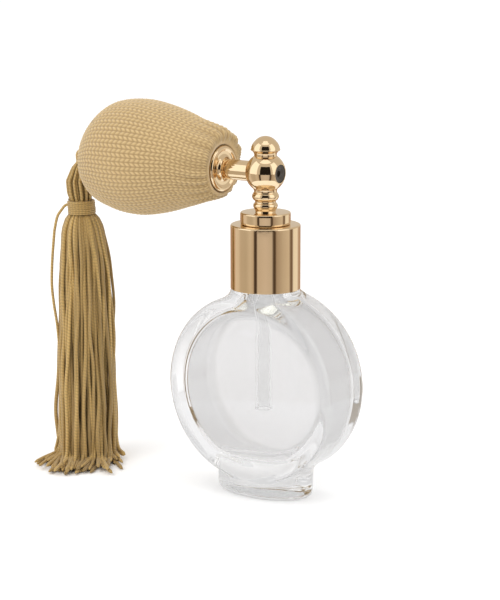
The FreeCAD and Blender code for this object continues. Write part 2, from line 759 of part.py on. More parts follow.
def tassel_binding():
    return at_tassel(tube(BINDING_R, CORE_R, BINDING_Z0, BINDING_Z1))


def tassel_core():
    """The gathered threads inside the binding."""
    return at_tassel(tube(CORE_R, 0, BINDING_Z0 - CORE_DEPTH, BINDING_Z1))


def tassel_skirt():
    """The hanging threads: narrow under the binding, and spread where they end at the table."""
    core_end = BINDING_Z0 - CORE_DEPTH
    foot = (SKIRT_END_R - SKIRT_EDGE_R, SKIRT_Z0)
    side = (SKIRT_END_R, SKIRT_Z0 + SKIRT_EDGE_R)
    bend = SKIRT_EDGE_R * math.sqrt(0.5)
    rounding = (side[0] - SKIRT_EDGE_R + bend, side[1] - bend)
    skirt = turned(
        [
            line((0, SKIRT_Z0), foot),
            arc(foot, rounding, side),
            curve([side, (SKIRT_MID_R, SKIRT_MID_Z), (SKIRT_TOP_R, BINDING_Z0)]),
            line((SKIRT_TOP_R, BINDING_Z0), (CORE_R, BINDING_Z0)),
            line((CORE_R, BINDING_Z0), (CORE_R, core_end)),
            line((CORE_R, core_end), (0, core_end)),
            line((0, core_end), (0, SKIRT_Z0)),
        ]
    )
    return at_tassel(skirt)


PIECES = [
    glass_bottle,
    neck_gasket,
    stem_plug,
    dip_tube,
    collar_shell,
    collar_liner,
    spindle_seal,
    retaining_clip,
    head_base_disc,
    head_spool,
    head_ball,
    finial_cap,
    nozzle_insert,
    nozzle_tip,
    air_tube,
    bulb_flange,
    bulb_nipple,
    outlet_valve_seat,
    outlet_valve_ball,
    outlet_valve_cage,
    rubber_bulb,
    knit_cover,
    neck_ring,
    intake_valve_body,
    intake_valve_ball,
    intake_valve_cage,
    tassel_eyelet,
    tassel_loop,
    tassel_binding,
    tassel_core,
    tassel_skirt,
]

for make in PIECES:
    shape = make()
    assert shape.isValid() and len(shape.Solids) == 1, make.__name__
    shape.Solids[0].exportStep(f"parts/{make.__name__}.step")
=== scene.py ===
import json
import math

import bmesh
import bpy
import numpy as np
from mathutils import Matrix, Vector


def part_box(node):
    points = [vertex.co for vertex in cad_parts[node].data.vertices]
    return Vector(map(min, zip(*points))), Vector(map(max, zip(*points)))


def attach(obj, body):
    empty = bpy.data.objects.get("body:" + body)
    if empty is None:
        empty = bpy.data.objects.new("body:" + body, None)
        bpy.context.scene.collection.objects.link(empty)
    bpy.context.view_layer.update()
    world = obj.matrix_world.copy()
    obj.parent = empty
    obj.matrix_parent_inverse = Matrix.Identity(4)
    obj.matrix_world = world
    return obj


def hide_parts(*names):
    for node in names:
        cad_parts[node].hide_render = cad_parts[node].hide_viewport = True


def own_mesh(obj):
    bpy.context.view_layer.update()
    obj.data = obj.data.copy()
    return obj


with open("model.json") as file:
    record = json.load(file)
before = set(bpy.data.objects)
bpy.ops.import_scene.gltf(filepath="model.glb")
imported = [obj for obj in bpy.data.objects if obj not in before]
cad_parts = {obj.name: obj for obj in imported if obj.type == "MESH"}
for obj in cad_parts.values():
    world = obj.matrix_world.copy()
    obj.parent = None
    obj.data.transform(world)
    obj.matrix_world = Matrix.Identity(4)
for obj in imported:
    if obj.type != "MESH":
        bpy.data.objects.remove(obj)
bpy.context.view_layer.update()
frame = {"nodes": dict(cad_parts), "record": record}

MM = 0.001
rng = np.random.default_rng(20)

# --- camera -----------------------------------------------------------------------------------------
CAMERA_AZIMUTH = 33
CAMERA_ELEVATION = 12
CAMERA_DISTANCE = 0.6
CAMERA_TARGET = Vector((0, 0, 0.055))
CAMERA_LENS_MM, CAMERA_SENSOR_MM = 125.7, 36
CAMERA_SHIFT = (-0.0258, 0.0102)


def direction(azimuth, elevation):
    """Unit vector towards an azimuth (0 is -Y, 90 is +X) and an elevation, in degrees."""
    a = math.radians(azimuth)
    e = math.radians(elevation)
    return Vector((math.sin(a) * math.cos(e), -math.cos(a) * math.cos(e), math.sin(e)))


def make_camera():
    data = bpy.data.cameras.new("camera")
    cam = bpy.data.objects.new("camera", data)
    bpy.context.scene.collection.objects.link(cam)
    back = direction(CAMERA_AZIMUTH, CAMERA_ELEVATION)
    cam.location = CAMERA_TARGET + back * CAMERA_DISTANCE
    cam.rotation_mode = "QUATERNION"
    cam.rotation_quaternion = (-back).to_track_quat("-Z", "Y")
    data.lens = CAMERA_LENS_MM
    data.sensor_width = CAMERA_SENSOR_MM
    data.shift_x, data.shift_y = CAMERA_SHIFT
    data.clip_start = 0.01
    data.clip_end = 50
    bpy.context.scene.camera = cam


make_camera()


# --- node helpers -----------------------------------------------------------------------------------
class Nodes:
    """Short ways to add nodes to one material."""

    def __init__(self, name):
        self.material = bpy.data.materials.new(name)
        self.material.use_nodes = True
        self.tree = self.material.node_tree
        self.bsdf = self.tree.nodes["Principled BSDF"]
        self.output = self.tree.nodes["Material Output"]

    def add(self, kind, **settings):
        node = self.tree.nodes.new("ShaderNode" + kind)
        for key, value in settings.items():
            setattr(node, key, value)
        return node

    def link(self, a, b):
        self.tree.links.new(a, b)

    def coords(self):
        return self.add("TexCoord").outputs["Object"]

    def noise(self, scale, detail=3.0, rough=0.5, vector=None, stretch=None):
        node = self.add("TexNoise")
        node.inputs["Scale"].default_value = scale
        node.inputs["Detail"].default_value = detail
        node.inputs["Roughness"].default_value = rough
        source = vector or self.coords()
        if stretch:
            mapping = self.add("Mapping")
            mapping.inputs["Scale"].default_value = stretch
            self.link(source, mapping.inputs["Vector"])
            source = mapping.outputs[0]
        self.link(source, node.inputs["Vector"])
        return node.outputs["Fac"]

    def ramp(self, fac, stops):
        node = self.add("ValToRGB")
        while len(node.color_ramp.elements) < len(stops):
            node.color_ramp.elements.new(0.5)
        for element, (place, colour) in zip(node.color_ramp.elements, stops):
            element.position = place
            element.color = (*colour, 1)
        self.link(fac, node.inputs["Fac"])
        return node.outputs["Color"]

    def span(self, fac, low, high):
        node = self.add("MapRange")
        node.inputs["To Min"].default_value = low
        node.inputs["To Max"].default_value = high
        self.link(fac, node.inputs["Value"])
        return node.outputs["Result"]

    def bump(self, height, strength, distance):
        node = self.add("Bump")
        node.inputs["Strength"].default_value = strength
        node.inputs["Distance"].default_value = distance
        self.link(height, node.inputs["Height"])
        self.link(node.outputs["Normal"], self.bsdf.inputs["Normal"])

    def mix(self, fac, a, b, blend="MIX"):
        node = self.add("Mix", data_type="RGBA", blend_type=blend)
        for socket, value in ((node.inputs[0], fac), (node.inputs[6], a), (node.inputs[7], b)):
            if isinstance(value, (int, float)):
                socket.default_value = value
            elif isinstance(value, tuple):
                socket.default_value = (*value, 1)
            else:
                self.link(value, socket)
        return node.outputs[2]

    def attribute(self, name):
        return self.add("Attribute", attribute_name=name).outputs["Fac"]

    def lay(self):
        """0 to 1 across the ribs that wind round a thread."""
        parts = self.add("SeparateXYZ")
        self.link(self.add("UVMap", uv_map="lay").outputs[0], parts.inputs[0])
        plies = self.add("Math", operation="ADD")
        self.link(parts.outputs["X"], plies.inputs[0])
        self.link(parts.outputs["Y"], plies.inputs[1])
        wave = self.add("Math", operation="MULTIPLY")
        wave.inputs[1].default_value = 2 * math.pi
        self.link(plies.outputs[0], wave.inputs[0])
        swing = self.add("Math", operation="SINE")
        self.link(wave.outputs[0], swing.inputs[0])
        half = self.add("Math", operation="MULTIPLY_ADD")
        half.inputs[1].default_value = 0.5
        half.inputs[2].default_value = 0.5
        self.link(swing.outputs[0], half.inputs[0])
        return half.outputs[0]

    def set(self, **values):
        for key, value in values.items():
            socket = self.bsdf.inputs[key.replace("_", " ")]
            if isinstance(value, (int, float)):
                socket.default_value = value
            elif isinstance(value, tuple):
                socket.default_value = (*value, 1)
            else:
                self.link(value, socket)


def polished_gold():
    m = Nodes("polished_gold")
    patches = m.noise(60, 4)
    colour = m.ramp(patches, [(0.3, (0.80, 0.62, 0.40)), (0.7, (0.84, 0.67, 0.45))])
    m.set(Base_Color=colour, Metallic=1.0, Roughness=m.span(m.noise(900, 2), 0.03, 0.075))
    m.bump(m.noise(350, 2), 0.02, 0.0002)
    return m.material


GLASS_MIDDLE = (0, 0, 0.0322)
GLASS_SOLID_FROM, GLASS_SOLID_TO = 0.0229, 0.0255  # the cavity ends between these radii
GLASS_IOR = 1.43
MOST_SURFACES = 3.5  # a ray that has met more goes straight on, or the rim traps it and turns black


def clear_glass():
    """Glass that is greyer where it is solid through, with painted shade that darkens it most where it is
    seen edge on.
    """
    m = Nodes("clear_glass")
    thin = m.ramp(m.noise(40, 2), [(0.3, (0.808, 0.805, 0.808)), (0.7, (0.823, 0.820, 0.823))])
    centre = m.add("VectorMath", operation="SUBTRACT")
    centre.inputs[1].default_value = GLASS_MIDDLE
    m.link(m.coords(), centre.inputs[0])
    flat = m.add("VectorMath", operation="MULTIPLY")
    flat.inputs[1].default_value = (1, 0, 1)
    m.link(centre.outputs[0], flat.inputs[0])
    away = m.add("VectorMath", operation="LENGTH")
    m.link(flat.outputs[0], away.inputs[0])
    solid = m.add("MapRange", interpolation_type="SMOOTHSTEP")
    solid.inputs["From Min"].default_value = GLASS_SOLID_FROM
    solid.inputs["From Max"].default_value = GLASS_SOLID_TO
    m.link(away.outputs["Value"], solid.inputs["Value"])
    # painted shade: the solid glass's grey deepens where its surface is seen edge on
    edge = m.add("LayerWeight")
    edge.inputs["Blend"].default_value = 0.5
    solid_tint_and_edge_shade = m.ramp(edge.outputs["Facing"], [(0.25, (0.65, 0.648, 0.65)), (0.9, (0.42, 0.418, 0.42))])
    tint = m.mix(solid.outputs["Result"], thin, solid_tint_and_edge_shade)
    m.set(Base_Color=tint, Roughness=m.span(m.noise(120, 2), 0.0, 0.006))
    m.set(IOR=GLASS_IOR, Transmission_Weight=1.0)
    m.bump(m.noise(45, 1), 0.02, 0.0004)
    through = m.add("BsdfTransparent")
    through.inputs["Color"].default_value = (0.93, 0.93, 0.93, 1)
    path = m.add("LightPath")
    mix = m.add("MixShader")
    m.link(path.outputs["Is Shadow Ray"], mix.inputs[0])
    m.link(m.bsdf.outputs[0], mix.inputs[1])
    m.link(through.outputs[0], mix.inputs[2])
    trapped = m.add("Math", operation="GREATER_THAN")
    trapped.inputs[1].default_value = MOST_SURFACES
    m.link(path.outputs["Ray Depth"], trapped.inputs[0])
    free = m.add("MixShader")
    m.link(trapped.outputs[0], free.inputs[0])
    m.link(mix.outputs[0], free.inputs[1])
    m.link(through.outputs[0], free.inputs[2])
    m.link(free.outputs[0], m.output.inputs["Surface"])
    return m.material


def clear_plastic():
    m = Nodes("clear_plastic")
    cloud = m.noise(300, 3)
    tint = m.ramp(cloud, [(0.3, (0.90, 0.90, 0.90)), (0.7, (0.925, 0.925, 0.925))])
    m.set(Base_Color=tint, Roughness=m.span(cloud, 0.06, 0.12), IOR=1.1, Transmission_Weight=1.0)
    m.bump(m.noise(600, 2), 0.05, 0.0001)
    return m.material


def moulded_plastic(name, dark, light, low, high, lit=0.0):
    """lit is a painted glow that stands in for the daylight that the clear neck leads into a translucent
    part.
    """
    m = Nodes(name)
    cloud = m.noise(500, 4)
    m.set(Emission_Color=light, Emission_Strength=lit)
    m.set(Base_Color=m.ramp(cloud, [(0.3, dark), (0.7, light)]), Roughness=m.span(cloud, low, high))
    m.bump(m.noise(2500, 3), 0.15, 0.00005)
    return m.material


def knit_yarn():
    m = Nodes("knit_yarn")
    groove_shade = m.attribute("groove_shade")
    warm = m.noise(35, 3)
    fibre = m.noise(2600, 4, 0.7)
    shades = [(0.0, (0.23, 0.145, 0.06)), (0.45, (0.42, 0.29, 0.127)), (1.0, (0.58, 0.418, 0.208))]
    # the yarn's colour runs dark where groove_shade marks painted shade in the stitch hollows and in the
    # folds by the mouth
    base = m.ramp(groove_shade, shades)
    tinted = m.mix(m.span(warm, 0.0, 0.22), base, (0.50, 0.33, 0.15))
    flecked = m.mix(m.attribute("speck"), tinted, (0.05, 0.03, 0.018))
    fuzzy = m.mix(m.span(fibre, 0.0, 0.35), flecked, (0.62, 0.465, 0.25))
    m.set(Base_Color=fuzzy, Roughness=m.span(fibre, 0.75, 0.95), Sheen_Weight=0.35, Sheen_Roughness=0.5)
    m.set(Specular_IOR_Level=0.2)
    m.bump(fibre, 0.5, 0.00012)
    return m.material


def tassel_thread():
    m = Nodes("tassel_thread")
    own = m.attribute("shade")
    lay = m.lay()
    fibre = m.noise(1500, 4, 0.7)
    base = m.ramp(own, [(0.0, (0.17, 0.095, 0.02)), (0.5, (0.36, 0.22, 0.056)), (1.0, (0.56, 0.365, 0.11))])
    # painted shade darkens the grooves between the ribs that wind round each thread
    ribs_with_painted_shade = m.mix(m.span(lay, 0.0, 0.5), base, (0.12, 0.07, 0.02))
    fuzzy = m.mix(m.span(fibre, 0.0, 0.3), ribs_with_painted_shade, (0.68, 0.47, 0.165))
    m.set(Base_Color=fuzzy, Roughness=m.span(fibre, 0.45, 0.7), Sheen_Weight=0.2)
    m.bump(fibre, 0.4, 0.0001)
    return m.material


GOLD = polished_gold()
GLASS = clear_glass()
TUBE = clear_plastic()
WHITE = moulded_plastic("white_plastic", (0.74, 0.74, 0.71), (0.83, 0.83, 0.80), 0.35, 0.5)
# the white parts inside the neck glow a little: painted light for the daylight the clear glass leads into
# them
NECK_WHITE_PAINTED_GLOW = moulded_plastic(
    "neck_white_plastic_painted_glow", (0.74, 0.74, 0.71), (0.83, 0.83, 0.80), 0.35, 0.5, lit=0.55
)
IN_NECK = ("collar_liner", "stem_plug", "neck_gasket")
SEAL = moulded_plastic("white_seal", (0.70, 0.70, 0.67), (0.80, 0.80, 0.77), 0.6, 0.8)
DARK = moulded_plastic("dark_plastic", (0.022, 0.016, 0.012), (0.05, 0.038, 0.028), 0.3, 0.45)
RUBBER = moulded_plastic("black_rubber", (0.022, 0.021, 0.020), (0.042, 0.040, 0.038), 0.6, 0.8)
KNIT = knit_yarn()
THREAD = tassel_thread()
FINISHES = {
    "clear_glass": GLASS,
    "clear_plastic": TUBE,
    "gold_metal": GOLD,
    "white_seal": SEAL,
    "white_plastic": WHITE,
    "dark_plastic": DARK,
    "black_rubber": RUBBER,
    "tan_knit": KNIT,
    "tassel_thread": THREAD,
}
SLOT_OF = {s["node"]: s["material_slot"] for s in frame["record"]["subparts"]}
BODY_OF = {n: b for b, nodes in frame["record"]["behaviour"]["bodies"].items() for n in nodes}
for node, obj in frame["nodes"].items():
    obj.data.materials.clear()
    obj.data.materials.append(NECK_WHITE_PAINTED_GLOW if node in IN_NECK else FINISHES[SLOT_OF[node]])


# --- mesh helpers -----------------------------------------------------------------------------------
def add_mesh(name, points, faces, material, smooth=True):
    mesh = bpy.data.meshes.new(name)
    mesh.from_pydata([tuple(p) for p in points], [], [tuple(int(i) for i in f) for f in faces])
    mesh.materials.append(material)
    mesh.polygons.foreach_set("use_smooth", [smooth] * len(mesh.polygons))
    mesh.update()
    obj = bpy.data.objects.new(name, mesh)
    bpy.context.scene.collection.objects.link(obj)
    return obj


def stand_for(obj, *nodes):
    """obj takes the place and body of these CAD nodes, which are hidden."""
    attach(obj, BODY_OF[nodes[0]])
    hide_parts(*nodes)
    return obj


def grid_faces(rows, columns, wrap=True):
    """Quads of a grid of rows by columns, closed round each row if wrap."""
    last = columns if wrap else columns - 1
    r, c = np.meshgrid(np.arange(rows - 1), np.arange(last), indexing="ij")
    a = r * columns + c
    b = r * columns + (c + 1) % columns
    return np.stack([a, b, b + columns, a + columns], -1).reshape(-1, 4)


def bow(a, middle, b, steps=10):
    """Points on the circle through three (radius, height) points, without the first."""
    (x1, y1), (x2, y2), (x3, y3) = a, middle, b
    d = 2 * (x1 * (y2 - y3) + x2 * (y3 - y1) + x3 * (y1 - y2))
    s1, s2, s3 = x1**2 + y1**2, x2**2 + y2**2, x3**2 + y3**2
    cx = (s1 * (y2 - y3) + s2 * (y3 - y1) + s3 * (y1 - y2)) / d
    cy = (s1 * (x3 - x2) + s2 * (x1 - x3) + s3 * (x2 - x1)) / d
    radius = math.hypot(x1 - cx, y1 - cy)
    t1 = math.atan2(y1 - cy, x1 - cx)
    t2 = (math.atan2(y2 - cy, x2 - cx) - t1 + math.pi) % (2 * math.pi) - math.pi
    t3 = (math.atan2(y3 - cy, x3 - cx) - t1 + math.pi) % (2 * math.pi) - math.pi
    if t2 * t3 < 0:
        t3 += math.copysign(2 * math.pi, t2)
    return [
        (cx + radius * math.cos(t1 + t3 * i / steps), cy + radius * math.sin(t1 + t3 * i / steps))
        for i in range(1, steps + 1)
    ]


def evenly(points, steps):
    """The same line with points spaced evenly along it."""
    points = np.asarray(points, float)
    length = np.r_[0, np.cumsum(np.linalg.norm(np.diff(points, axis=0), axis=1))]
    at = np.linspace(0, length[-1], steps)
    return np.stack([np.interp(at, length, points[:, k]) for k in range(points.shape[1])], 1)


def ease(value, low, high):
    """0 below low, 1 above high and a smooth step between."""
    t = np.clip((value - low) / (high - low), 0, 1)
    return t * t * (3 - 2 * t)


def smooth_line(values, rounds=3):
    """The same values with their kinks smoothed and their ends kept."""
    values = np.array(values, float)
    for _ in range(rounds):
        values[1:-1] = (values[:-2] + 2 * values[1:-1] + values[2:]) / 4
    return values


def set_attribute(obj, name, values):
    layer = obj.data.attributes.new(name, "FLOAT", "POINT")
    layer.data.foreach_set("value", np.asarray(values, np.float32).ravel())


def lathe(name, outline, material, place=None, around=128):
    """A closed solid turned from a closed (radius, height) outline in millimetres."""
    points, faces, first = [], [], []
    angle = np.linspace(0, 2 * math.pi, around, endpoint=False)
    for r, z in outline:
        first.append((len(points), r < 1e-6))
        if r < 1e-6:
            points.append((0.0, 0.0, z))
        else:
            points += [(r * math.cos(t), r * math.sin(t), z) for t in angle]
    for i, (a, pole_a) in enumerate(first):
        b, pole_b = first[(i + 1) % len(first)]
        if pole_a and pole_b:
            continue
        for k in range(around):
            m = (k + 1) % around
            if pole_a:
                faces.append((a, b + m, b + k))
            elif pole_b:
                faces.append((a + k, a + m, b))
            else:
                faces.append((a + k, a + m, b + m, b + k))
    points = np.array(points) * MM
    if place is not None:
        points = place(points)
    obj = add_mesh(name, points, faces, material)
    make_outward(obj)
    return obj


def make_outward(obj):
    """Turns every face of a closed mesh outwards."""
    mesh = obj.data
    mesh.calc_loop_triangles()
    v = np.array([p.co[:] for p in mesh.vertices])
    t = np.array([tri.vertices[:] for tri in mesh.loop_triangles])
    volume = np.einsum("ij,ij->i", v[t[:, 0]], np.cross(v[t[:, 1]], v[t[:, 2]])).sum()
    if volume < 0:
        mesh.flip_normals()
    mesh.update()


AXIS_Z = (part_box("air_tube")[0].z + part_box("air_tube")[1].z) / 2 / MM


def along_bulb(points):
    """Turns points made about Z so that their height runs along -X at the ball's height."""
    return np.stack([-points[:, 2], points[:, 1], points[:, 0] + AXIS_Z * MM], 1)


def along_nozzle(points):
    return np.stack([points[:, 2], points[:, 1], -points[:, 0] + AXIS_Z * MM], 1)


# --- gold pieces, turned as in the CAD ----------------------------------------------------------------
def collar_shell():
    outer, wall, z0, z1, hole = 10.0, 0.35, 60.4, 78.9, 4.2
    outline = [
        (outer - wall, z0),
        (outer - 0.08, z0),
        (outer, z0 + 0.08),
        (outer, z1 - 0.45),
        *bow((outer, z1 - 0.45), (outer - 0.13, z1 - 0.13), (outer - 0.45, z1), 8),
        (hole, z1),
        (hole, z1 - wall),
        (outer - wall, z1 - wall),
    ]
    shell = lathe("collar_shell_polished", outline, GOLD, around=192)
    shade_by_angle(shell, 35)
    stand_for(shell, "collar_shell")


def head_base_disc():
    outer, z0, z1, shank, floor, hole = 7.2, 78.95, 82.4, 3.3, 79.6, 2.45
    r = 0.38
    c = r * (1 - math.sqrt(0.5))
    outline = [
        (hole, z0),
        (outer - r, z0),
        *bow((outer - r, z0), (outer - c, z0 + c), (outer, z0 + r), 8),
        (outer, z1 - r),
        *bow((outer, z1 - r), (outer - c, z1 - c), (outer - r, z1), 8),
        (shank, z1),
        (shank, floor),
        (hole, floor),
    ]
    disc = lathe("head_base_disc_polished", outline, GOLD, around=160)
    shade_by_angle(disc, 35)
    stand_for(disc, "head_base_disc")


def spline(points, steps=8):
    """Points on the Catmull-Rom curve through (radius, height) points."""
    p = [np.array(q, float) for q in points]
    p = [2 * p[0] - p[1], *p, 2 * p[-1] - p[-2]]
    out = []
    for a, b, c, d in zip(p, p[1:], p[2:], p[3:]):
        for k in range(steps):
            t = k / steps
            square, cube = 2 * a - 5 * b + 4 * c - d, 3 * b - a - 3 * c + d
            out.append(tuple(0.5 * (2 * b + (c - a) * t + square * t**2 + cube * t**3)))
    return out + [tuple(p[-2])]


def head_spool():
    side = spline(
        [
            (2.95, 82.4),
            (2.95, 82.85),
            (3.28, 83.45),
            (3.5, 84.1),
            (3.38, 84.75),
            (3.05, 85.05),
            (3.05, 85.6),
            (3.55, 86.05),
            (3.85, 86.85),
            (3.6, 87.65),
            (3.3, 88.05),
            (3.3, 88.5),
            (3.4, 88.9),
        ]
    )
    outline = [(2.45, 79.6), (3.3, 79.6), (3.3, 82.4), *side, (2.2, 88.9), (2.2, 90.8), (0.5, 90.8)]
    outline += [(0.5, 87.3), (2.45, 87.3)]
    spool = lathe("head_spool_polished", outline, GOLD, around=144)
    shade_by_angle(spool, 50)
    stand_for(spool, "head_spool")


def head_ball():
    """The ball with its flats, its nozzle seat and its bores, cut from a fine sphere."""
    radius, flat, seat, clear = 5.75, 4.7, 5.0, 8
    nozzle_r, tenon_r = 2.65, 2.2
    ball = lathe("head_ball_polished", ball_outline(radius, AXIS_Z, flat), GOLD, around=192)
    cut_hole(ball, along_nozzle, seat - 0.02, seat + 2, clear)
    cut_hole(ball, along_nozzle, seat - 2.2, seat + 2, nozzle_r)
    cut_hole(ball, along_bulb, 4.95, clear, clear)
    cut_hole(ball, along_bulb, 3.05, clear, tenon_r)
    weld(ball)
    shade_by_angle(ball, 30)
    stand_for(ball, "head_ball")


def ball_outline(radius, centre, flat):
    edge = math.asin(flat / radius)
    side = [
        (radius * math.cos(t), centre + radius * math.sin(t)) for t in np.linspace(-edge, edge, 72)
    ]
    low, high = centre - flat, centre + flat
    return [
        (0, centre - 2), (0.5, centre - 2), (0.5, low + 1.9), (2.2, low + 1.9), (2.2, low), *side,
        (1.5, high), (1.5, high - 1.8), (0, high - 1.8),
    ]


def cut_hole(obj, place, z0, z1, radius, around=96):
    tool = lathe("tool", [(0, z0), (radius, z0), (radius, z1), (0, z1)], GOLD, place, around)
    cut = obj.modifiers.new("cut", "BOOLEAN")
    cut.operation = "DIFFERENCE"
    cut.solver = "EXACT"
    cut.object = tool
    apply_modifiers(obj)
    bpy.data.objects.remove(tool)


def apply_modifiers(obj):
    graph = bpy.context.evaluated_depsgraph_get()
    mesh = bpy.data.meshes.new_from_object(obj.evaluated_get(graph))
    obj.modifiers.clear()
    obj.data = mesh


def weld(obj, gap=3e-6):
    """Closes the slivers that the cuts leave, and makes every face a triangle."""
    work = bmesh.new()
    work.from_mesh(obj.data)
    bmesh.ops.remove_doubles(work, verts=work.verts, dist=gap)
    bmesh.ops.dissolve_degenerate(work, edges=work.edges, dist=gap)
    bmesh.ops.triangulate(work, faces=work.faces)
    bmesh.ops.dissolve_degenerate(work, edges=work.edges, dist=gap)
    work.to_mesh(obj.data)
    work.free()


def shade_by_angle(obj, degrees):
    """Smooth shading that keeps edges sharper than the angle crisp."""
    mesh = obj.data
    mesh.polygons.foreach_set("use_smooth", [True] * len(mesh.polygons))
    mesh.set_sharp_from_angle(angle=math.radians(degrees))
    mesh.update()


def finial_cap():
    lip = (4.2, 100.0)
    shoulder = (3.05, 102.55)
    top = 104.0
    centre = top - (shoulder[0] ** 2 + (top - shoulder[1]) ** 2) / (2 * (top - shoulder[1]))
    radius = top - centre
    turn = math.asin(shoulder[0] / radius)
    dome = [(radius * math.sin(t), centre + radius * math.cos(t)) for t in np.linspace(turn, 0, 18)]
    dome[-1] = (0, top)
    outline = [
        (0, 96.55),
        (1.5, 96.55),
        (1.5, 98.3),
        (3.2, 98.3),
        (3.2, 98.8),
        *bow((3.2, 98.8), (3.55, 99.5), lip, 8),
        (4.22, 100.08),
        (4.2, 100.22),
        (4.1, 100.32),
        *bow((4.1, 100.32), (3.8, 101.5), shoulder, 12),
        *dome[1:],
    ]
    cap = lathe("finial_cap_polished", outline, GOLD, around=144)
    shade_by_angle(cap, 40)
    stand_for(cap, "finial_cap")


def nozzle_parts():
    face, back = 4.85, 2.8
    outline = [
        (0.9, face - 0.5), (1.5, face - 0.08), (1.7, face), (2.5, face), (2.65, face - 0.12), (2.65, back),
        (1.6, back), (1.6, back + 1.0), (0.9, back + 1.0),
    ]
    insert = lathe("nozzle_insert_moulded", outline, DARK, along_nozzle, 96)
    shade_by_angle(insert, 35)
    stand_for(insert, "nozzle_insert")


def air_tube():
    r, s0, s1, tenon, bore = 2.9, 4.97, 13.8, 2.2, 0.9
    outline = [
        (bore, s0 - 1.9), (tenon, s0 - 1.9), (tenon, s0), (r, s0), (r, s1), (tenon, s1), (tenon, 16.9),
        (bore, 16.9),
    ]
    rod = lathe("air_tube_polished", outline, GOLD, along_bulb, 144)
    shade_by_angle(rod, 35)
    stand_for(rod, "air_tube")


def bulb_flange():
    """The plate at the bulb's mouth: a rounded rim, a dish with a bead in it, and the trumpet."""
    front, back, tube_r = 13.8, 15.4, 2.92
    floor = front + 0.5
    rim = 0.8
    outline = [
        (2.2, front), (tube_r, front), (tube_r, floor - 1.3),
        *bow((tube_r, floor - 1.3), (tube_r + 0.381, floor - 0.381), (tube_r + 1.3, floor), 8),
        (4.6, floor), (5.05, floor - 0.02),
        *bow((5.05, floor - 0.02), (5.35, floor - 0.22), (5.65, front), 6),
        (5.85, front),
        *bow((5.85, front), (6.65, front + rim), (5.85, back), 14),
        (2.2, back),
    ]
    plate = lathe("bulb_flange_polished", outline, GOLD, along_bulb, 160)
    shade_by_angle(plate, 50)
    stand_for(plate, "bulb_flange")


collar_shell()
head_base_disc()
head_spool()
head_ball()
finial_cap()
nozzle_parts()
air_tube()
bulb_flange()


def dip_tube():
    outer, inner, z0, z1 = 2.5, 1.7, 25.0, 75.4
    outline = [
        (inner, z0 + 0.06), (inner + 0.06, z0), (outer - 0.08, z0), (outer, z0 + 0.08), (outer, z1),
        (inner, z1),
    ]
    pipe = lathe("dip_tube_clear", outline, TUBE, around=64)
    shade_by_angle(pipe, 35)
    stand_for(pipe, "dip_tube")


dip_tube()


# --- glass bottle -------------------------------------------------------------------------------------
BODY_R, BODY_HALF, BODY_Z = 27.3, 10.7, 32.2
NECK_R, NECK_BORE_R, NECK_TOP = 7.8, 4.9, 75.6
PITCH, THREAD_Z, THREAD_TURNS = 3.175, 65.0, 1.5


def drum(p, radius, half, edge):
    """Distance to a short cylinder along Y with rounded edges."""
    u = np.hypot(p[:, 0], p[:, 2] - BODY_Z) - (radius - edge)
    v = np.abs(p[:, 1]) - (half - edge)
    return np.minimum(np.maximum(u, v), 0) + np.hypot(np.maximum(u, 0), np.maximum(v, 0)) - edge


def upright(p, a, b, z0, z1, edge):
    """Distance, nearly, to an oval post with rounded lower and upper edges."""
    k = np.hypot(p[:, 0] / a, p[:, 1] / b)
    g = np.hypot(p[:, 0] / a**2, p[:, 1] / b**2) + 1e-9
    across = k * (k - 1) / g + edge
    along = np.abs(p[:, 2] - (z0 + z1) / 2) - (z1 - z0) / 2 + edge
    return (
        np.minimum(np.maximum(across, along), 0)
        + np.hypot(np.maximum(across, 0), np.maximum(along, 0))
        - edge
    )


def smooth_min(a, b, k):
    """The smaller distance, with a fillet of about k where the two meet."""
    h = np.clip(0.5 + 0.5 * (b - a) / k, 0, 1)
    return b * (1 - h) + a * h - k * h * (1 - h)


def outside(p):
    """Distance to the bottle's outside below its thread."""
    body = drum(p, BODY_R, BODY_HALF, 2.5)
    foot = upright(p, 15.2, 9.8, 0.0, 14.0, 2.2)
    neck = upright(p, 9.75, 9.75, 50.0, 60.9, 0.6)
    return smooth_min(smooth_min(body, foot, 1.6), neck, 3.0)


def inside(p):
    """Distance to the room for the liquid and the neck's bore."""
    room = drum(p, BODY_R - 3.4, BODY_HALF - 2.4, 4.0)
    floor = 10.5 - p[:, 2]
    room = -smooth_min(-room, -floor, 3.0)
    bore = np.maximum(np.hypot(p[:, 0], p[:, 1]) - NECK_BORE_R, BODY_Z - p[:, 2])
    return smooth_min(room, bore, 3.0)


def trace(distance, directions, centre, start):
    """Where rays from the centre last meet the surface, found from outside inwards."""
    reach = np.full(len(directions), float(start))
    for _ in range(160):
        reach -= distance(centre + directions * reach[:, None]) * 0.8
    return centre + directions * reach[:, None]


def thread_height(angle, z):
    """How far the screw ridge stands out of the neck, with tapered ends."""
    height = np.zeros_like(z)
    for turn in range(3):
        along = angle / (2 * math.pi) + turn
        offset = np.abs(z - (THREAD_Z + PITCH * along))
        ridge = np.clip((0.95 - offset) / 0.6, 0, 1)
        ends = np.clip(along / 0.06, 0, 1) * np.clip((THREAD_TURNS - along) / 0.06, 0, 1)
        height = np.maximum(height, ridge * ends)
    return height


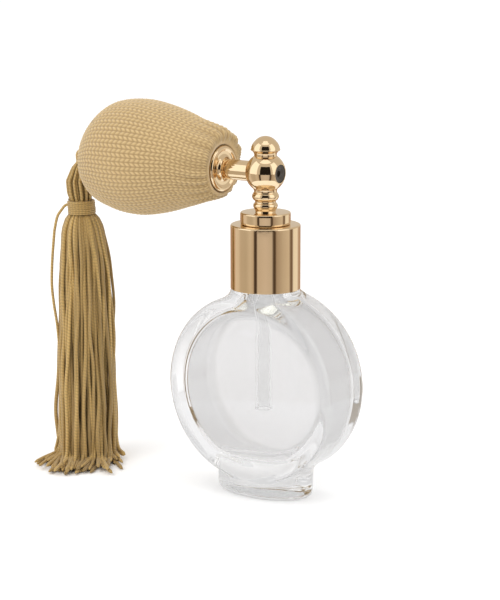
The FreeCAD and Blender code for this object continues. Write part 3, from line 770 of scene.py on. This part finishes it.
def glass_bottle():
    around = 360
    angle = np.linspace(0, 2 * math.pi, around, endpoint=False)
    circle = np.stack([np.cos(angle), np.sin(angle), np.zeros(around)], 1)
    centre = np.array([0, 0, BODY_Z])
    rows = []

    def fan(distance, polar):
        for t in polar:
            d = circle * math.sin(t) + np.array([0, 0, math.cos(t)])
            rows.append(trace(distance, d, centre, 60))

    def ring(radius, z):
        rows.append(circle * np.reshape(radius, (-1, 1)) + np.array([0, 0, z]))

    base = math.atan2(9.3, 60.9 - BODY_Z)
    fan(outside, np.linspace(math.pi - 0.002, base, 300))
    ring(NECK_R + 0.4, 60.95)
    for z in np.arange(61.1, NECK_TOP - 0.5, 0.2):
        ring(NECK_R + thread_height(angle, np.full(around, z)), z)
    for t in np.linspace(0, math.pi / 2, 5):
        ring(NECK_R - 0.5 + 0.5 * math.cos(t), NECK_TOP - 0.5 + 0.5 * math.sin(t))
    for t in np.linspace(math.pi / 2, math.pi, 5):
        ring(NECK_BORE_R + 0.4 + 0.4 * math.cos(t), NECK_TOP - 0.4 + 0.4 * math.sin(t))
    for z in np.arange(74.5, 60, -1.0):
        ring(NECK_BORE_R, z)
    mouth = math.atan2(NECK_BORE_R, 60 - BODY_Z)
    fan(inside, np.linspace(mouth, math.pi - 0.002, 230))
    count = len(rows)
    points = np.concatenate(rows + [[[0, 0, 0.0]], [[0, 0, rows[-1][0, 2]]]]) * MM
    faces = grid_faces(count, around).tolist()
    bottom, floor = count * around, count * around + 1
    last = (count - 1) * around
    for k in range(around):
        m = (k + 1) % around
        faces.append((bottom, m, k))
        faces.append((floor, last + k, last + m))
    obj = add_mesh("glass_bottle_clear", points, faces, GLASS)
    make_outward(obj)
    stand_for(obj, "glass_bottle")


glass_bottle()


# --- squeeze bulb -------------------------------------------------------------------------------------
BULB_R, MOUTH_R, MOUTH_S, WIDEST_S, POLE_S = 17.0, 8.6, 14.4, 42.0, 62.0
BULB_RISE = 1.3  # how far the soft bulb's middle stands above the tube's axis
POLE_HOLE_R = 2.45
WALES, COURSES = 41, 38
STITCH_DEPTH, GATHER_DEPTH = 0.36, 0.8


def bulb_side(inset, s_from, steps):
    """(radius, distance) points along the bulb from s_from to the hole in its far pole."""
    radius, mouth, pole = BULB_R - inset, MOUTH_R - inset, POLE_S - inset
    s = np.linspace(s_from, WIDEST_S, 400, endpoint=False)
    front = radius - (radius - mouth) * np.clip((WIDEST_S - s) / (WIDEST_S - MOUTH_S), 0, 1) ** 1.55
    turn = np.linspace(0, math.pi / 2, 600)
    back = radius * np.cos(turn) ** (2 / 2.35)
    along = WIDEST_S + (pole - WIDEST_S) * np.sin(turn) ** (2 / 2.35)
    points = np.stack([np.r_[front, back], np.r_[s, along]], 1)
    return evenly(points[points[:, 0] > POLE_HOLE_R], steps)


def along_soft_bulb(points):
    """As along_bulb, with the middle of the soft bulb lifted a little."""
    placed = along_bulb(points)
    s = -placed[:, 0] / MM
    placed[:, 2] += BULB_RISE * MM * ease(s, 16, 27) * (1 - ease(s, 50, 60))
    return placed


def rubber_bulb():
    outer = bulb_side(1.35, 25.0, 60)
    inner = bulb_side(2.55, 26.2, 60)
    neck = [(4.25, 16.5), (6.3, 16.5), (6.3, 20.0)]
    outline = [*neck, *map(tuple, outer), *map(tuple, inner[::-1]), (4.25, 21.2)]
    bulb = lathe("rubber_bulb_moulded", outline, RUBBER, along_soft_bulb, 96)
    shade_by_angle(bulb, 40)
    stand_for(bulb, "rubber_bulb")
    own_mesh(bulb)


def stitches(column, row, columns, rows):
    """Height from 0 to 1 of rows of V-shaped knit stitches."""
    p = (column / columns * WALES) % 1.0 - 0.5
    q = row / rows * COURSES
    leg = 0.5 + 0.5 * np.cos(2 * math.pi * (q - 0.7 * np.abs(2 * p)))
    return leg**0.6 * np.abs(np.sin(2 * math.pi * p)) ** 0.6


def knit_cover():
    """The knitted sleeve: stitches and mouth gathers in its outside, and the lip trapped by the flange."""
    columns, rows = WALES * 10, 200
    mouth = [(7.0, MOUTH_S + 0.15), (7.25, MOUTH_S), (7.9, MOUTH_S), (8.35, MOUTH_S + 0.25)]
    side = evenly(np.concatenate([mouth, bulb_side(0, MOUTH_S + 0.8, 300)]), rows)
    inside = bulb_side(1.0, 17.4, 14)[::-1]
    lip = [(6.9, 16.45), (4.6, 16.45), (4.6, 15.45), (6.9, 15.45)]
    profile = np.concatenate([side, inside, lip])
    slope = np.gradient(side, axis=0)
    normal = np.stack([slope[:, 1], -slope[:, 0]], 1) / np.linalg.norm(slope, axis=1)[:, None]
    angle = np.linspace(0, 2 * math.pi, columns, endpoint=False)
    c, r = np.meshgrid(np.arange(columns), np.arange(rows))
    height = stitches(c, r, columns, rows)
    uneven = 1 + 0.18 * np.sin(angle * 3 + 1)[None] * np.sin(r / rows * 9)
    fade = np.minimum(1, side[:, 0] / 9)[:, None]
    ends = ease(r, 1, 6) * (1 - ease(r, rows - 6, rows - 1))
    relief = STITCH_DEPTH * height * uneven * fade * ends
    folds = 17 * angle + 2.1 * np.sin(3 * angle) + 0.9 * np.sin(7 * angle)
    near_mouth = (1 - ease(side[:, 1], 16, 26))[:, None] * ease(r, 1, 9)
    gathers = GATHER_DEPTH * (0.5 + 0.5 * np.cos(folds))[None] ** 0.7
    fuller = (1.35 * np.cos(angle) + 0.4)[None]
    lift = relief - 0.3 * ends + (gathers + fuller) * near_mouth
    radius = np.repeat(profile[:, :1], columns, 1)
    along = np.repeat(profile[:, 1:], columns, 1)
    radius[:rows] += normal[:, :1] * lift
    along[:rows] += normal[:, 1:] * lift
    points = np.stack([radius * np.cos(angle), radius * np.sin(angle), along], -1).reshape(-1, 3)
    count = len(profile)
    faces = grid_faces(count, columns).tolist()
    last = (count - 1) * columns
    faces += [(last + k, last + (k + 1) % columns, (k + 1) % columns, k) for k in range(columns)]
    cover = add_mesh("knit_cover_stitched", along_soft_bulb(points * MM), faces, KNIT)
    make_outward(cover)
    # painted shade: darker in the stitch hollows and, by the mouth, in the folds of the gathers
    groove_shade = np.ones((count, columns))
    groove_shade[:rows] = (1 - (1 - height) * ends) * (1 - 0.45 * near_mouth * (0.5 - 0.5 * np.cos(folds))[None])
    set_attribute(cover, "groove_shade", groove_shade)
    fleck = np.array([11.2, -9.4, 54.0])
    away = np.linalg.norm(points - fleck, axis=1)
    set_attribute(cover, "speck", np.exp(-((away / 0.6) ** 4)))
    stand_for(cover, "knit_cover")
    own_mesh(cover)


rubber_bulb()
knit_cover()

# --- tassel -------------------------------------------------------------------------------------------
TASSEL_X = -65.0
TO_LEFT = -np.array([math.cos(math.radians(CAMERA_AZIMUTH)), math.sin(math.radians(CAMERA_AZIMUTH)), 0])
BINDING_TOP, BINDING_FOOT = 80.4, 75.7
LOOP_HEIGHTS = [78.9, 80.4, 82.5, 86, 89, 92, 93.2]
LOOP_RADII = [2.4, 2.9, 3.4, 3.3, 2.4, 1.5, 1.0]
GOLDEN_ANGLE = 2.399963


def axis_at(z):
    """The middle of the tassel at a height: the head leans a little outwards from the crossbar."""
    heights = [0, 62, 74, 78, 81, 86, 92, 93.6]
    leans = [0, 0, 0.5, 0.8, 1.1, 1.6, 0.7, 0]
    z = np.asarray(z, float)
    off = np.interp(z, heights, leans)
    return np.stack([TASSEL_X + 0 * z, 0 * z, z], -1) + off[..., None] * TO_LEFT


def strands(name, paths, radius, shade, sides=8, turn_mm=0.95):
    """One mesh of round threads along paths (threads, points, 3) in millimetres."""
    paths = np.asarray(paths, float)
    threads, steps, _ = paths.shape
    t = np.gradient(paths, axis=1)
    t /= np.linalg.norm(t, axis=2, keepdims=True)
    u = np.empty_like(t)
    side = np.cross(t[:, 0], [0.31, 0.87, 0.38])
    for k in range(steps):
        side = side - (side * t[:, k]).sum(1, keepdims=True) * t[:, k]
        side /= np.linalg.norm(side, axis=1, keepdims=True)
        u[:, k] = side
    v = np.cross(t, u)
    length = np.concatenate(
        [np.zeros((threads, 1)), np.cumsum(np.linalg.norm(np.diff(paths, axis=1), axis=2), axis=1)], 1
    )
    around = np.linspace(0, 2 * math.pi, sides, endpoint=False)
    size = np.broadcast_to(np.asarray(radius, float).reshape(-1, 1), (threads, steps)).copy()
    size[:, 0] *= 0.6
    size[:, -1] *= 0.45
    ring = u[:, :, None] * np.cos(around)[:, None] + v[:, :, None] * np.sin(around)[:, None]
    points = paths[:, :, None] + ring * size[:, :, None, None]
    one = grid_faces(steps, sides)
    faces = (one[None] + np.arange(threads)[:, None, None] * steps * sides).reshape(-1, 4).tolist()
    for n in range(threads):
        first = n * steps * sides
        faces.append([first + k for k in range(sides)][::-1])
        faces.append([first + (steps - 1) * sides + k for k in range(sides)])
    obj = add_mesh(name, points.reshape(-1, 3) * MM, faces, THREAD)
    make_outward(obj)
    set_attribute(obj, "shade", np.repeat(shade, steps * sides))
    uv = obj.data.uv_layers.new(name="lay")
    corner = np.empty(len(obj.data.loops), int)
    obj.data.loops.foreach_get("vertex_index", corner)
    place = corner % sides
    where = (length / turn_mm + rng.uniform(0, 1, (threads, 1))).reshape(-1)[corner // sides]
    turn = place / sides
    starts = np.empty(len(obj.data.polygons), int)
    totals = np.empty(len(obj.data.polygons), int)
    obj.data.polygons.foreach_get("loop_start", starts)
    obj.data.polygons.foreach_get("loop_total", totals)
    quads = starts[totals == 4][:, None] + np.arange(4)
    seam = (place[quads].max(1) == sides - 1) & (place[quads].min(1) == 0)
    fixed = turn[quads[seam]]
    turn[quads[seam]] = np.where(fixed < 0.5, fixed + 1, fixed)
    uv.data.foreach_set("uv", np.stack([turn, where], 1).astype(np.float32).ravel())
    return obj


def wander(threads, steps, size):
    """Slow sideways drift of each thread, in millimetres, that is nothing at its first point."""
    along = np.linspace(0, 1, steps)[None, :, None]
    drift = np.zeros((threads, steps, 3))
    for waves in (1.0, 2.3, 4.1):
        phase = rng.uniform(0, 2 * math.pi, (threads, 1, 3))
        drift += (np.sin(2 * math.pi * waves * along + phase) - np.sin(phase)) * size / waves
    drift[:, :, 2] = 0
    return drift


def tassel_skirt():
    """The hanging threads, whose ends lie on the table, and one that has come loose."""
    threads, steps, outermost = 132, 52, 52
    own = np.sqrt(rng.uniform(0.06, 1, threads))
    own[:outermost] = rng.uniform(0.82, 1.0, outermost)
    angle = rng.uniform(0, 2 * math.pi, threads)
    angle[:outermost] = np.arange(outermost) / outermost * 2 * math.pi + rng.normal(0, 0.05, outermost)
    heights = [0, 5, 15, 30, 50, 65, 70, 72.5, 74.2, 75.4, 76.4]
    widths = [8.9, 8.8, 8.6, 8.2, 7.5, 6.9, 6.3, 5.7, 4.9, 4.0, 3.3]
    top = heights[-1]
    rest = rng.uniform(0.5, 2.0, threads)  # how high each thread's end lies
    length = rng.normal(85.0, 2.2, threads) + 3.0 * np.cos(angle - math.radians(213))
    share = np.linspace(0, 1, steps) ** 0.92
    gone = length[:, None] * share[None]
    bend = 2.6  # radius of the turn on to the table
    straight = top - rest - bend
    past = np.clip(gone - straight[:, None], 0, bend * math.pi / 2)
    z = top - np.minimum(gone, straight[:, None]) - bend * np.sin(past / bend)
    lying = np.maximum(gone - straight[:, None] - bend * math.pi / 2, 0)
    out = bend * (1 - np.cos(past / bend)) + lying
    spread = np.interp(z, heights, widths) * own[:, None]
    near = direction(CAMERA_AZIMUTH, 0)
    sweep = np.stack([0.12 * np.cos(angle) + near.x, 0.12 * np.sin(angle) + near.y])
    lie = np.arctan2(sweep[1], sweep[0]) + rng.normal(0, 0.16, threads)
    paths = axis_at(z)
    paths[..., 0] += spread * np.cos(angle)[:, None] + out * np.cos(lie)[:, None]
    paths[..., 1] += spread * np.sin(angle)[:, None] + out * np.sin(lie)[:, None]
    paths += wander(threads, steps, 0.5) * ease(gone, 1, 18)[..., None]
    loose_z = [79.2, 78.4, 75.3, 70.7, 61.6, 53.9, 47.8, 41.7, 33.0, 20.0, 8.0, 1.2]
    loose_out = [3.9, 5.8, 8.2, 9.1, 10.0, 10.3, 9.7, 8.8, 8.2, 8.3, 8.8, 10.5]
    down = np.linspace(0, 11, steps)
    bend_z = np.interp(down, np.arange(12), loose_z)
    loose = np.stack([TASSEL_X + 0 * bend_z, 0 * bend_z, bend_z], 1)
    loose += smooth_line(np.interp(down, np.arange(12), loose_out))[:, None] * TO_LEFT
    paths = np.concatenate([paths, loose[None]])
    radius = np.r_[rng.uniform(0.46, 0.62, threads), 0.42]
    shade = np.r_[np.clip(rng.normal(0.5, 0.3, threads), 0, 1), 0.75]
    obj = strands("tassel_skirt_threads", paths, radius, shade)
    stand_for(obj, "tassel_skirt")


def tassel_loop():
    """Threads folded over the crossbar, fanning out down to the binding."""
    steps, bar = 40, AXIS_Z
    across = np.linspace(-1.0, 1.0, 6)
    paths, shade = [], []
    for layer, reach in enumerate((0.84, 1.2, 1.55)):
        for n, y in enumerate(across):
            for way in (-1, 1):
                turn = np.linspace(0, math.pi / 2, 9)
                top = np.stack(
                    [TASSEL_X + way * reach * np.sin(turn), y + 0 * turn, bar + reach * np.cos(turn)], 1
                )
                fan = (n + 0.5 + 0.25 * layer) / 6 * math.pi - math.pi / 2
                heading = fan if way > 0 else math.pi - fan
                z = np.linspace(bar - 0.4, BINDING_TOP - 1.5, steps - 9)
                full = np.interp(z, LOOP_HEIGHTS, LOOP_RADII) * (1.0, 0.75, 0.4)[layer]
                body = axis_at(z)
                body[:, 0] += full * math.cos(heading)
                body[:, 1] += full * math.sin(heading)
                first = ease(z, bar - 4.0, bar - 0.4)[:, None]
                body = body * (1 - first) + first * np.stack(
                    [TASSEL_X + way * reach + 0 * z, y + 0 * z, z], 1
                )
                paths.append(evenly(np.concatenate([top, body]), steps))
                shade.append(float(rng.uniform(0.5, 1.0)))
    obj = strands("tassel_loop_threads", paths, rng.uniform(0.4, 0.52, len(paths)), np.array(shade))
    stand_for(obj, "tassel_loop")


def tassel_binding():
    """A thread wound round the tassel's neck in two layers."""
    steps, thread = 420, 0.3
    paths = []
    for layer_r, start in ((3.5, 0.0), (3.93, 1.3)):
        share = np.linspace(0, 1, steps)
        turns = (BINDING_TOP - BINDING_FOOT - 2 * thread) / (2 * thread * 0.93)
        angle = 2 * math.pi * turns * share + start
        z = BINDING_FOOT + thread + (BINDING_TOP - BINDING_FOOT - 2 * thread) * share
        line = axis_at(z)
        radius = layer_r + 0.06 * np.sin(3 * angle + 1) + 0.05 * np.sin(0.7 * angle)
        line[:, 0] += radius * np.cos(angle)
        line[:, 1] += radius * np.sin(angle)
        paths.append(line)
    # the inner layer's darker tone (0.3) is painted shade under the outer layer
    obj = strands("tassel_binding_wraps", paths, thread, np.array([0.3, 0.62]), sides=7)
    stand_for(obj, "tassel_binding")


def tassel_core():
    """The threads packed inside the binding, in darker tones as painted shade."""
    threads, steps = 34, 14
    share = np.sqrt(np.linspace(0.01, 1, threads))
    angle = np.arange(threads) * GOLDEN_ANGLE
    z = np.linspace(BINDING_TOP - 0.1, 69.8, steps)
    paths = np.repeat(axis_at(z)[None], threads, 0)
    paths[..., 0] += (2.7 * share * np.cos(angle))[:, None]
    paths[..., 1] += (2.7 * share * np.sin(angle))[:, None]
    # the core's darker tones are painted shade, as it sits deep inside the tassel
    obj = strands("tassel_core_threads", paths, 0.46, rng.uniform(0.1, 0.5, threads))
    stand_for(obj, "tassel_core")


tassel_loop()
tassel_binding()
tassel_core()
tassel_skirt()


# --- floor, light and what the metal mirrors ------------------------------------------------------------
def glow(name, colour, strength, through_glass=0.8):
    """Emission that looks closer to white to rays that have been through the glass."""
    m = Nodes(name)
    light = m.add("Emission")
    depth = m.add("LightPath").outputs["Transmission Depth"]
    inside = m.add("Math", operation="MINIMUM")
    inside.inputs[1].default_value = 1.0
    m.link(depth, inside.inputs[0])
    share = m.span(inside.outputs[0], 0.0, through_glass)
    m.link(m.mix(share, colour, (1.0, 1.0, 1.0)), light.inputs["Color"])
    light.inputs["Strength"].default_value = strength
    m.link(light.outputs[0], m.output.inputs["Surface"])
    return m.material


TABLE_SHADES = [
    (-180, (0.50, 0.33, 0.22)),
    (-135, (0.50, 0.33, 0.22)),
    (-122, (0.62, 0.42, 0.30)),
    (-112, (0.80, 0.71, 0.62)),
    (-98, (0.76, 0.67, 0.58)),
    (-88, (0.60, 0.52, 0.43)),
    (-66, (0.57, 0.50, 0.41)),
    (-50, (0.70, 0.62, 0.53)),
    (-40, (0.60, 0.50, 0.40)),
    (-36, (0.08, 0.055, 0.04)),
    (-29, (0.08, 0.055, 0.04)),
    (-26, (0.64, 0.56, 0.49)),
    (0, (0.70, 0.62, 0.56)),
    (20, (0.64, 0.57, 0.51)),
    (26, (0.10, 0.07, 0.05)),
    (32, (0.10, 0.07, 0.05)),
    (36, (0.44, 0.36, 0.29)),
    (60, (0.62, 0.55, 0.47)),
    (82, (0.72, 0.64, 0.55)),
    (90, (0.22, 0.16, 0.12)),
    (97, (0.22, 0.16, 0.12)),
    (104, (0.98, 0.95, 0.88)),
    (125, (1.0, 0.97, 0.9)),
    (138, (0.55, 0.40, 0.30)),
    (180, (0.50, 0.33, 0.22)),
]


def glow_by_vertex(name):
    """Emission whose colour comes from the mesh's own tint."""
    m = Nodes(name)
    light = m.add("Emission")
    m.link(m.add("Attribute", attribute_name="tint").outputs["Color"], light.inputs["Color"])
    m.link(light.outputs[0], m.output.inputs["Surface"])
    return m.material


def seen_only_in(obj, *rays):
    for ray in ("camera", "diffuse", "glossy", "transmission", "shadow", "volume_scatter"):
        setattr(obj, "visible_" + ray, ray in rays)


def patch_on_sphere(name, azimuths, elevations, material, rays, radius, steps=12):
    """Part of a sphere round the object. Azimuths count from the camera's, in degrees, as elevations do."""
    middle = Vector((0, 0, 0.08))
    rows = [
        [direction(CAMERA_AZIMUTH + az, el) * radius + middle for az in np.linspace(*azimuths, steps)]
        for el in np.linspace(*elevations, steps)
    ]
    points = [p for row in rows for p in row]
    obj = add_mesh(name, points, grid_faces(steps, steps, wrap=False), material)
    seen_only_in(obj, *rays)
    return obj


def patch_on_floor(name, azimuths, distances, material, rays, height, steps):
    """Part of the table round the object, tinted by TABLE_SHADES at azimuths counted from the camera's."""
    points = []
    for distance in np.linspace(*distances, steps):
        for az in np.linspace(*azimuths, steps):
            a = math.radians(CAMERA_AZIMUTH + az)
            points.append((distance * math.sin(a), -distance * math.cos(a), height))
    obj = add_mesh(name, points, grid_faces(steps, steps, wrap=False), material)
    places, shades = zip(*TABLE_SHADES)
    around = np.tile(np.linspace(*azimuths, steps), steps)
    tint = [np.interp(around, places, np.array(shades)[:, k]) for k in range(3)]
    layer = obj.data.attributes.new("tint", "FLOAT_COLOR", "POINT")
    layer.data.foreach_set("color", np.stack([*tint, np.ones_like(around)], 1).astype(np.float32).ravel())
    seen_only_in(obj, *rays)
    return obj


def make_floor():
    m = Nodes("pale_floor")
    cloud = m.noise(3, 2)
    m.set(Base_Color=m.ramp(cloud, [(0.3, (0.93, 0.93, 0.93)), (0.7, (0.95, 0.95, 0.95))]), Roughness=0.9)
    m.set(Specular_IOR_Level=0.1)
    rings = [0.1, 0.3, 1.0, 3.0, 9.0, 30.0]
    around = 64
    angles = np.linspace(0, 2 * math.pi, around, endpoint=False)
    points = [(r * math.cos(t), r * math.sin(t), 0.0) for r in rings for t in angles]
    faces = grid_faces(len(rings), around)[:, ::-1].tolist() + [tuple(range(around))]
    floor = add_mesh("floor", points, faces, m.material, smooth=False)


def make_world():
    world = bpy.data.worlds.new("studio")
    bpy.context.scene.world = world
    world.use_nodes = True
    world.node_tree.nodes["Background"].inputs["Color"].default_value = (1, 1, 1, 1)
    world.node_tree.nodes["Background"].inputs["Strength"].default_value = 1.1


def area_light(name, azimuth, elevation, distance, size, power):
    data = bpy.data.lights.new(name, "AREA")
    data.shape = "DISK"
    data.size = size
    data.energy = power
    lamp = bpy.data.objects.new(name, data)
    bpy.context.scene.collection.objects.link(lamp)
    away = direction(CAMERA_AZIMUTH + azimuth, elevation)
    lamp.location = Vector((0, 0, 0.06)) + away * distance
    lamp.rotation_mode = "QUATERNION"
    lamp.rotation_quaternion = away.to_track_quat("Z", "Y")
    lamp.visible_glossy = False
    lamp.visible_transmission = False


def make_cards():
    """The studio as polished metal shows it.

    Soft boxes stand either side, with the dark room behind the camera between them, and the pale table with
    its dark edges lies below."""
    dark = glow("dark_card", (0.020, 0.016, 0.013), 1.0)
    wall = glow("wall_card", (0.70, 0.64, 0.56), 1.0)
    soft = glow("soft_box", (1.0, 0.98, 0.95), 1.35)
    glossy = ("glossy",)
    patch_on_sphere("mirror_dark_room", (-32, 30), (-6, 40), dark, glossy, radius=0.9)
    patch_on_sphere("mirror_left_box", (-100, -50), (-4, 52), soft, glossy, radius=0.95)
    patch_on_sphere("mirror_right_box", (42, 84), (-4, 52), soft, glossy, radius=0.95)
    patch_on_sphere("mirror_top_box", (-60, 60), (58, 82), soft, glossy, radius=0.95)
    patch_on_sphere("mirror_wall", (-180, 180), (-6, 89), wall, glossy, radius=1.3, steps=48)
    table = glow_by_vertex("table_card")
    patch_on_floor("mirror_table", (-180, 180), (0.12, 1.3), table, glossy, height=0.0006, steps=240)


make_world()
make_floor()
area_light("key", azimuth=-50, elevation=50, distance=1.2, size=0.9, power=4.2)
area_light("fill", azimuth=60, elevation=40, distance=1.2, size=0.9, power=1.2)
area_light("top", azimuth=0, elevation=85, distance=1.2, size=1.0, power=1.0)
make_cards()
bpy.context.scene.view_settings.view_transform = "Standard"
